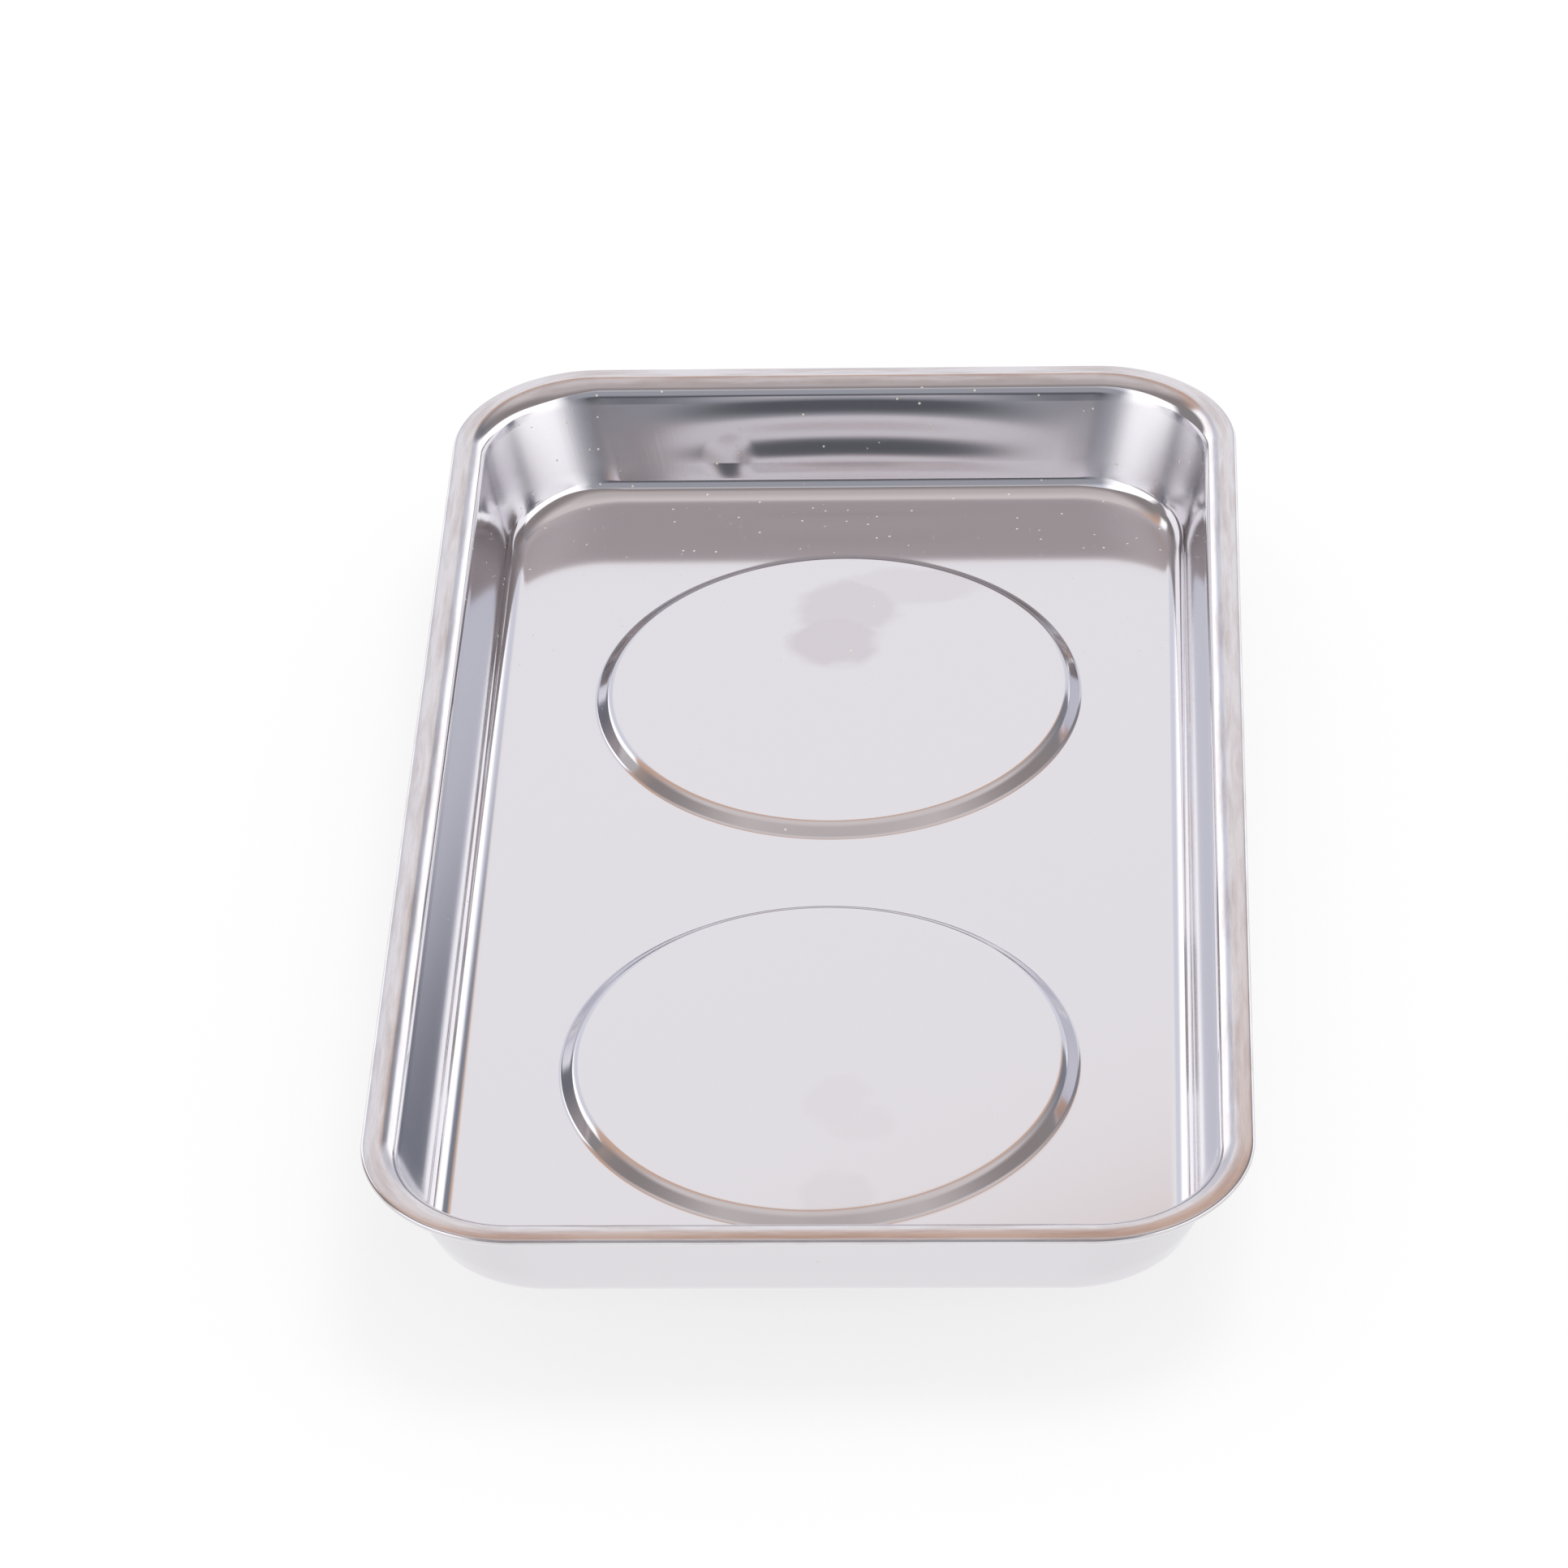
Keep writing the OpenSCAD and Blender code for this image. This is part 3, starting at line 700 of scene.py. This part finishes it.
class PARTSTRAY_OT_mould_boots(bpy.types.Operator):
    """Mould a rubber boot round each magnet, with grip grooves and a well for the nut"""

    bl_idname = "parts_tray.mould_boots"
    bl_label = "Mould Boots"

    steps: face_count("Steps", "Faces round each boot", 160)

    def groove(self, boot, x):
        """The runs of one grip groove towards the middle, with its lips and corners rounded."""
        lip = boot.lip
        rise = Vector((0, 0, boot.groove_depth - 2 * lip))
        left = x - boot.groove_width
        return (
            ((x, 0, lip), -90, LIP_STEPS),
            rise,
            ((x - 2 * lip, 0, boot.groove_depth - lip), 90, LIP_STEPS),
            Vector((4 * lip - boot.groove_width, 0, 0)),
            ((left + 2 * lip, 0, boot.groove_depth - lip), 90, LIP_STEPS),
            -rise,
            ((left, 0, lip), -90, LIP_STEPS),
        )

    def section(self, bm, boot, stud_radius):
        """Draws a boot's section: round the magnet, down the outer wall and along the sole into the well."""
        radius = (BOOT_HIGH.x - BOOT_LOW.x) / 2
        top = BOOT_HIGH.z
        base = MAGNET_LOW.z
        magnet_top = MAGNET_HIGH.z
        bore = radius - boot.wall
        hub = boot.magnet_bore / 2 - boot.clearance
        well = (WASHER_HIGH.x - WASHER_LOW.x) / 2 + boot.well_clearance
        hole = stud_radius + boot.stud_clearance
        lip = boot.lip
        bead = boot.parting_bead
        mouth = boot.groove_depth
        web_z = magnet_top - boot.web - lip
        band = radius - boot.edge - well
        middle = (top + boot.edge) / 2
        bead_steps = 6
        edge_steps = 10
        mouth_steps = 6

        x = radius - boot.edge
        sole = []
        for i in range(boot.grooves, 0, -1):
            start = well + band * i / (boot.grooves + 1) + boot.groove_width / 2
            sole += [Vector((start - x, 0, 0)), *self.groove(boot, start)]
            x = start - boot.groove_width
        draw_section(bm, (hole, 0, magnet_top), (
            Vector((hub - hole, 0, 0)),
            Vector((0, 0, base - magnet_top)),
            Vector((bore - hub, 0, 0)),
            Vector((0, 0, top - lip - base)),
            ((bore + lip, 0, top - lip), -90, LIP_STEPS),
            Vector((boot.wall - 2 * lip, 0, 0)),
            ((radius - lip, 0, top - lip), -90, LIP_STEPS),
            Vector((0, 0, middle + bead - top + lip)),
            ((radius, 0, middle), -180, bead_steps),
            Vector((0, 0, boot.edge - middle + bead)),
            ((radius - boot.edge, 0, boot.edge), -90, edge_steps),
            *sole,
            Vector((well + mouth - x, 0, 0)),
            ((well + mouth, 0, mouth), -90, mouth_steps),
            Vector((0, 0, web_z - mouth)),
            ((well - lip, 0, web_z), 90, LIP_STEPS),
            Vector((hole - well + lip, 0, 0)),
            Vector((0, 0, boot.web)),
        ))

    def execute(self, context):
        settings = context.scene.parts_tray
        material = moulded_rubber(settings.colours)
        for end in ENDS:
            bm = bmesh.new()
            self.section(bm, settings.boots, settings.fasteners.stud_diameter / 2)
            revolve(bm, self.steps)
            seated_piece(bm, end, "moulded_boot", material, 40, "rubber_boot")
        return {"FINISHED"}


class PARTSTRAY_OT_fit_magnets(bpy.types.Operator):
    """Finish the ring magnets and the backing plates, which the boots and the dish enclose"""

    bl_idname = "parts_tray.fit_magnets"
    bl_label = "Fit Magnets"

    def execute(self, context):
        colours = context.scene.parts_tray.colours
        finishes = {"ring_magnet": ground_ferrite(colours), "backing_plate": zinc_plate(colours)}
        for end in ENDS:
            for name, material in finishes.items():
                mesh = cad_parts[f"{end}_{name}"].data
                mesh.materials.clear()
                mesh.materials.append(material)
        return {"FINISHED"}


class PARTSTRAY_OT_fit_fasteners(bpy.types.Operator):
    """Fit the stud, the flat washer, the spring washer and the nut of each magnet"""

    bl_idname = "parts_tray.fit_fasteners"
    bl_label = "Fit Fasteners"

    thread_steps: face_count("Thread steps", "Faces round a turn of thread", 32)
    ring_steps: face_count("Ring steps", "Faces round a flat washer", 64)
    coil_steps: face_count("Coil steps", "Faces along a spring washer", 56)
    round_steps: face_count("Round steps", "Faces round a flange or nut", 48)

    def stud(self, sizes):
        """Screws a thread up to the flange that is welded to the dish."""
        bm = bmesh.new()
        crest = sizes.stud_diameter / 2
        root = crest - sizes.thread_depth
        flange_z = STUD_HIGH.z - sizes.flange_thickness
        flange_radius = (STUD_HIGH.x - STUD_LOW.x) / 2
        crest_width = sizes.pitch / 8
        root_width = sizes.pitch / 4
        flank = (sizes.pitch - crest_width - root_width) / 2
        point_share = 0.85
        turns = math.ceil((flange_z - STUD_LOW.z) / sizes.pitch) + 2
        draw_section(bm, (root, 0, STUD_LOW.z - sizes.pitch), (
            Vector((sizes.thread_depth, 0, flank)),
            Vector((0, 0, crest_width)),
            Vector((-sizes.thread_depth, 0, flank)),
            Vector((0, 0, root_width)),
        ))
        bmesh.ops.spin(bm, geom=bm.verts[:] + bm.edges[:], cent=(0, 0, 0), axis=UP,
                       angle=2 * math.pi * turns, steps=self.thread_steps * turns,
                       dvec=UP * sizes.pitch / self.thread_steps)
        bmesh.ops.remove_doubles(bm, verts=bm.verts[:], dist=MERGE)
        loops = []
        for z, outer in ((STUD_LOW.z, -UP), (flange_z, UP)):
            cut = bmesh.ops.bisect_plane(bm, geom=bm.verts[:] + bm.edges[:] + bm.faces[:], dist=MERGE,
                                         plane_co=(0, 0, z), plane_no=outer, clear_outer=True)["geom_cut"]
            loops.append(only(cut, bmesh.types.BMEdge))
        point = list({v for e in loops[0] for v in e.verts})
        bmesh.ops.scale(bm, vec=(point_share, point_share, 1), verts=point)
        bmesh.ops.edgeloop_fill(bm, edges=loops[0])
        flange = bmesh.ops.create_circle(bm, segments=self.round_steps, radius=flange_radius,
                                         matrix=Matrix.Translation((0, 0, flange_z)))["verts"]
        rim = list({e for v in flange for e in v.link_edges})
        bmesh.ops.triangle_fill(bm, edges=rim + loops[1])
        grown = bmesh.ops.extrude_edge_only(bm, edges=rim)["geom"]
        bmesh.ops.translate(bm, verts=only(grown, bmesh.types.BMVert), vec=UP * sizes.flange_thickness)
        bmesh.ops.edgeloop_fill(bm, edges=only(grown, bmesh.types.BMEdge))
        return bm

    def flat_washer(self, sizes, hole):
        """Stamps the wide washer."""
        bm = bmesh.new()
        ring_section(bm, hole, (WASHER_HIGH.x - WASHER_LOW.x) / 2, WASHER_LOW.z, WASHER_HIGH.z, sizes.edge)
        revolve(bm, self.ring_steps)
        return bm

    def split_washer(self, sizes, hole):
        """Winds the spring washer and leaves its slanting split open."""
        bm = bmesh.new()
        outer = (SPLIT_HIGH.y - SPLIT_LOW.y) / 2
        ring_section(bm, hole, outer, SPLIT_LOW.z, SPLIT_HIGH.z, sizes.edge)
        slant = Matrix.Identity(4)
        slant[1][2] = math.tan(sizes.split_lean)
        slant[1][3] = -slant[1][2] * (SPLIT_LOW.z + SPLIT_HIGH.z) / 2
        gap = sizes.split / ((hole + outer) / 2)
        bmesh.ops.transform(bm, matrix=Matrix.Rotation(gap / 2, 4, "Z") @ slant, verts=bm.verts[:])
        first = bm.edges[:]
        spun = bmesh.ops.spin(bm, geom=bm.verts[:] + first, cent=(0, 0, 0), axis=UP,
                              angle=2 * math.pi - gap, steps=self.coil_steps)
        for edges in (first, only(spun["geom_last"], bmesh.types.BMEdge)):
            bmesh.ops.edgeloop_fill(bm, edges=edges)
        return bm

    def nut(self, sizes, hole):
        """Cuts a hexagon nut, chamfers its corners all round and bores it."""
        bm = bmesh.new()
        cuts = self.round_steps
        face_share = 0.95
        fine_merge = 0.0001 * MM
        corner = (NUT_HIGH.x - NUT_LOW.x) / 2
        face_radius = face_share * (NUT_HIGH.y - NUT_LOW.y) / 2
        turn = Matrix.Rotation(math.pi / 2, 4, "Z")
        bmesh.ops.create_circle(bm, cap_ends=True, segments=6, radius=corner,
                                matrix=Matrix.Translation((0, 0, NUT_LOW.z)) @ turn)
        grown = bmesh.ops.extrude_face_region(bm, geom=bm.faces[:], use_keep_orig=True)["geom"]
        bmesh.ops.translate(bm, verts=only(grown, bmesh.types.BMVert), vec=UP * (NUT_HIGH.z - NUT_LOW.z))
        for z, outwards in ((NUT_LOW.z, -UP), (NUT_HIGH.z, UP)):
            for i in range(cuts):
                side = Matrix.Rotation(2 * math.pi * i / cuts, 3, "Z") @ Vector((1, 0, 0))
                cut = bmesh.ops.bisect_plane(
                    bm, geom=bm.verts[:] + bm.edges[:] + bm.faces[:], dist=fine_merge,
                    plane_co=side * face_radius + UP * z,
                    plane_no=side * math.sin(sizes.nut_chamfer) + outwards * math.cos(sizes.nut_chamfer),
                    clear_outer=True)["geom_cut"]
                bmesh.ops.edgeloop_fill(bm, edges=only(cut, bmesh.types.BMEdge))
        bores = []
        for z in (NUT_LOW.z, NUT_HIGH.z):
            level = [f for f in bm.faces if all(abs(v.co.z - z) < MERGE for v in f.verts)]
            face = max(level, key=lambda f: f.calc_area())
            outline = list(face.edges)
            bmesh.ops.delete(bm, geom=[face], context="FACES_ONLY")
            circle = bmesh.ops.create_circle(bm, segments=cuts, radius=hole,
                                             matrix=Matrix.Translation((0, 0, z)))["verts"]
            bore = list({e for v in circle for e in v.link_edges})
            bmesh.ops.bridge_loops(bm, edges=outline + bore)
            bores.append(bore)
        bmesh.ops.bridge_loops(bm, edges=bores[0] + bores[1])
        return bm

    def execute(self, context):
        settings = context.scene.parts_tray
        sizes = settings.fasteners
        material = zinc_plate(settings.colours)
        thread_hole = sizes.stud_diameter / 2 + sizes.thread_clearance
        washer_hole = sizes.stud_diameter / 2 + settings.boots.stud_clearance
        for end in ENDS:
            pieces = (
                (self.stud(sizes), "threaded_stud", 30, "weld_stud"),
                (self.flat_washer(sizes, washer_hole), "flat_washer", 40, "wide_washer"),
                (self.split_washer(sizes, thread_hole), "split_washer", 40, "spring_washer"),
                (self.nut(sizes, thread_hole), "chamfered_nut", 20, "hex_nut"),
            )
            for bm, name, sharp_degrees, cad_node in pieces:
                seated_piece(bm, end, name, material, sharp_degrees, cad_node)
        return {"FINISHED"}


class PARTSTRAY_OT_set_stage(bpy.types.Operator):
    """Set the white table, the soft light and the camera"""

    bl_idname = "parts_tray.set_stage"
    bl_label = "Set Stage"

    def camera(self, context):
        """Stands the camera where the photograph was taken from."""
        level = math.cos(CAMERA_ELEVATION)
        back = Vector((
            math.sin(CAMERA_AZIMUTH) * level,
            -math.cos(CAMERA_AZIMUTH) * level,
            math.sin(CAMERA_ELEVATION),
        ))
        turn = back.to_track_quat("Z", "Y").to_matrix().to_4x4() @ Matrix.Rotation(CAMERA_ROLL, 4, "Z")
        data = bpy.data.cameras.new("photo_camera")
        data.sensor_width = CAMERA_SENSOR
        data.lens = CAMERA_LENS
        camera = bpy.data.objects.new("photo_camera", data)
        camera.matrix_world = Matrix.Translation(CAMERA_TARGET + back * CAMERA_DISTANCE) @ turn
        context.scene.collection.objects.link(camera)
        context.scene.camera = camera

    def tent(self, tree, across, split):
        """Tones of the white tent: bright sides, a dark patch at the left, a plain back and an open front."""
        # Each mask is set by the parts of a ray's direction: X to the right, Y to the rear and Z up
        shaded = node(tree, "MapRange", {0: across, 1: 0.13, 2: 0.25, 3: 0.0, 4: 1.0}).outputs[0]
        sides = node(tree, "MapRange", {0: across, 1: 0.41, 2: 0.52, 3: 0.0, 4: 1.0}).outputs[0]
        left = node(tree, "MapRange", {0: split["X"], 1: -0.76, 2: -0.66, 3: 1.0, 4: 0.0}).outputs[0]
        left = node(tree, "MapRange", {0: split["Y"], 1: -0.1, 2: 0.05, 3: 0.0, 4: left}).outputs[0]
        left = node(tree, "MapRange", {0: split["Y"], 1: 0.62, 2: 0.75, 3: left, 4: 0.0}).outputs[0]
        low = node(tree, "MapRange", {0: split["Z"], 1: 0.02, 2: 0.08, 3: 0.0, 4: 1.0}).outputs[0]
        low = node(tree, "MapRange", {0: split["Z"], 1: 0.14, 2: 0.3, 3: low, 4: 0.0}).outputs[0]
        low = node(tree, "MapRange", {0: across, 1: 0.15, 2: 0.4, 3: low, 4: 0.0}).outputs[0]
        room = node(tree, "Mix", {0: low, 6: FRONT_ROOM, 7: FRONT_FURNITURE}, data_type="RGBA").outputs[2]
        front = node(tree, "MapRange", {0: across, 1: 0.42, 2: 0.66, 3: 1.0, 4: 0.0}).outputs[0]
        front = node(tree, "MapRange", {0: split["Y"], 1: -0.78, 2: -0.6, 3: front, 4: 0.0}).outputs[0]
        tone = TENT_BACK
        parts = ((shaded, TENT_BACK_SHADE), (sides, TENT_SIDES), (left, TENT_LEFT_PATCH), (front, room))
        for mask, tint in parts:
            tone = node(tree, "Mix", {0: mask, 6: tone, 7: tint}, data_type="RGBA").outputs[2]
        return tone

    def ceiling(self, tree, across, split, tent):
        """Lays the beige ceiling, seen through the tent's oval opening, over the tent's tones."""
        skew = -0.322
        middle = (0, 0.035, 0)
        half_axes = (0.88, 0.726, 1)
        slant = node(tree, "Math", {0: split["X"], 1: skew, 2: 1.0}, operation="MULTIPLY_ADD").outputs[0]
        skewed = node(tree, "Math", {0: split["Y"], 1: slant}, operation="MULTIPLY").outputs[0]
        flat = node(tree, "CombineXYZ", {0: split["X"], 1: skewed}).outputs[0]
        flat = node(tree, "VectorMath", {0: flat, 1: middle}, operation="SUBTRACT").outputs[0]
        flat = node(tree, "VectorMath", {0: flat, 1: half_axes}, operation="DIVIDE").outputs[0]
        reach = node(tree, "VectorMath", {0: flat}, operation="LENGTH").outputs[1]

        right = node(tree, "MapRange", {0: split["X"], 1: 0.12, 2: 0.24, 3: 0.0, 4: 1.0}).outputs[0]
        glow = node(tree, "Mix", {0: right, 6: CEILING_GLOW, 7: CEILING_CORNER},
                    data_type="RGBA").outputs[2]
        backwards = node(tree, "MapRange", {0: skewed, 1: 0.3, 2: 0.65, 3: 0.0, 4: 1.0}).outputs[0]
        border = node(tree, "Mix", {0: backwards, 6: CEILING_BORDER, 7: glow}, data_type="RGBA").outputs[2]
        forwards = node(tree, "MapRange", {0: split["Y"], 1: 0.15, 2: -0.3, 3: 0.0, 4: 0.33}).outputs[0]
        flanks = node(tree, "MapRange", {0: across, 1: 0.42, 2: 0.74, 3: forwards, 4: 1.0}).outputs[0]
        beige = node(tree, "Mix", {0: flanks, 6: CEILING, 7: CEILING_FLANKS}, data_type="RGBA").outputs[2]
        edge = node(tree, "MapRange", {0: reach, 1: 0.64, 2: 0.92, 3: 0.0, 4: 1.0}).outputs[0]
        beige = node(tree, "Mix", {0: edge, 6: beige, 7: border}, data_type="RGBA").outputs[2]
        above = node(tree, "MapRange", {0: reach, 1: 0.995, 2: 1.01, 3: 1.0, 4: 0.0}).outputs[0]
        return node(tree, "Mix", {0: above, 6: tent, 7: beige}, data_type="RGBA").outputs[2]

    def world(self, scene):
        """Sets up a tent that only polished surfaces show: everything else gets plain white light."""
        world = bpy.data.worlds.new("white_tent")
        world.use_nodes = True
        tree = world.node_tree
        tree.nodes.clear()
        ray = node(tree, "TexCoord").outputs["Generated"]
        split = node(tree, "SeparateXYZ", {0: ray}).outputs
        across = node(tree, "Math", {0: split["X"]}, operation="ABSOLUTE").outputs[0]
        room = self.ceiling(tree, across, split, self.tent(tree, across, split))
        path = node(tree, "LightPath").outputs
        seen = PLAIN_LIGHT
        for rays, tone in (("Is Camera Ray", WHITE), ("Is Glossy Ray", room)):
            seen = node(tree, "Mix", {0: path[rays], 6: seen, 7: tone}, data_type="RGBA").outputs[2]
        light = node(tree, "Background", {"Color": seen, "Strength": 1.0})
        node(tree, "OutputWorld", {"Surface": light.outputs[0]})
        scene.world = world

    def table(self):
        """Lays the white table, which keeps the tray's soft shadow, a hair below the boots."""
        half_size = 3
        drop = Matrix.Translation((0, 0, -0.05 * MM))
        glow_share = 0.72
        bm = bmesh.new()
        bmesh.ops.create_grid(bm, x_segments=1, y_segments=1, size=half_size, matrix=drop)
        material = new_material("white_table")
        tree = material.node_tree
        path = node(tree, "LightPath").outputs
        share = node(tree, "Math", {0: path["Is Camera Ray"], 1: glow_share, 2: path["Is Glossy Ray"]},
                     operation="MULTIPLY_ADD").outputs[0]
        matt = node(tree, "BsdfDiffuse", {"Color": (0.95, 0.95, 0.95, 1)})
        glow = node(tree, "Emission", {"Color": WHITE, "Strength": 1.0})
        shader = node(tree, "MixShader", {0: share, 1: matt.outputs[0], 2: glow.outputs[0]})
        node(tree, "OutputMaterial", {"Surface": shader.outputs[0]})
        mesh_object(bm, "table", material, sharp_degrees=30)

    def lamp(self, scene):
        """Hangs a soft lamp high behind the tray, at the right, to cast the shadow to the front left."""
        place = Vector((0.35, 0.3, 1.8))
        data = bpy.data.lights.new("overhead_lamp", "AREA")
        data.shape = "DISK"
        data.size = 0.9
        data.energy = 7
        lamp = bpy.data.objects.new("overhead_lamp", data)
        lamp.matrix_world = Matrix.Translation(place) @ place.to_track_quat("Z", "Y").to_matrix().to_4x4()
        lamp.visible_glossy = False
        scene.collection.objects.link(lamp)

    def execute(self, context):
        scene = context.scene
        scene.view_settings.view_transform = "Standard"
        self.table()
        self.world(scene)
        self.lamp(scene)
        self.camera(context)
        return {"FINISHED"}


STEPS = (
    PARTSTRAY_OT_press_dish,
    PARTSTRAY_OT_mould_boots,
    PARTSTRAY_OT_fit_magnets,
    PARTSTRAY_OT_fit_fasteners,
    PARTSTRAY_OT_set_stage,
)


class PARTSTRAY_PT_sidebar(bpy.types.Panel):
    """Lists the tray's making steps, sizes and colours"""

    bl_idname = "PARTSTRAY_PT_sidebar"
    bl_label = "Parts Tray"
    bl_space_type = "VIEW_3D"
    bl_region_type = "UI"
    bl_category = "Parts Tray"

    def draw(self, context):
        settings = context.scene.parts_tray
        for step in STEPS:
            self.layout.operator(step.bl_idname)
        for group in (settings.dish, settings.boots, settings.fasteners, settings.colours):
            box = self.layout.box()
            for name in group.__annotations__:
                box.prop(group, name)


CLASSES = (DishSizes, BootSizes, FastenerSizes, TrayColours, TraySettings, *STEPS, PARTSTRAY_PT_sidebar)


def register():
    for cls in CLASSES:
        bpy.utils.register_class(cls)
    bpy.types.Scene.parts_tray = PointerProperty(type=TraySettings)


def unregister():
    del bpy.types.Scene.parts_tray
    for cls in reversed(CLASSES):
        bpy.utils.unregister_class(cls)


def main():
    register()
    bpy.ops.parts_tray.press_dish()
    bpy.ops.parts_tray.mould_boots()
    bpy.ops.parts_tray.fit_magnets()
    bpy.ops.parts_tray.fit_fasteners()
    bpy.ops.parts_tray.set_stage()


if __name__ == "__main__":
    main()
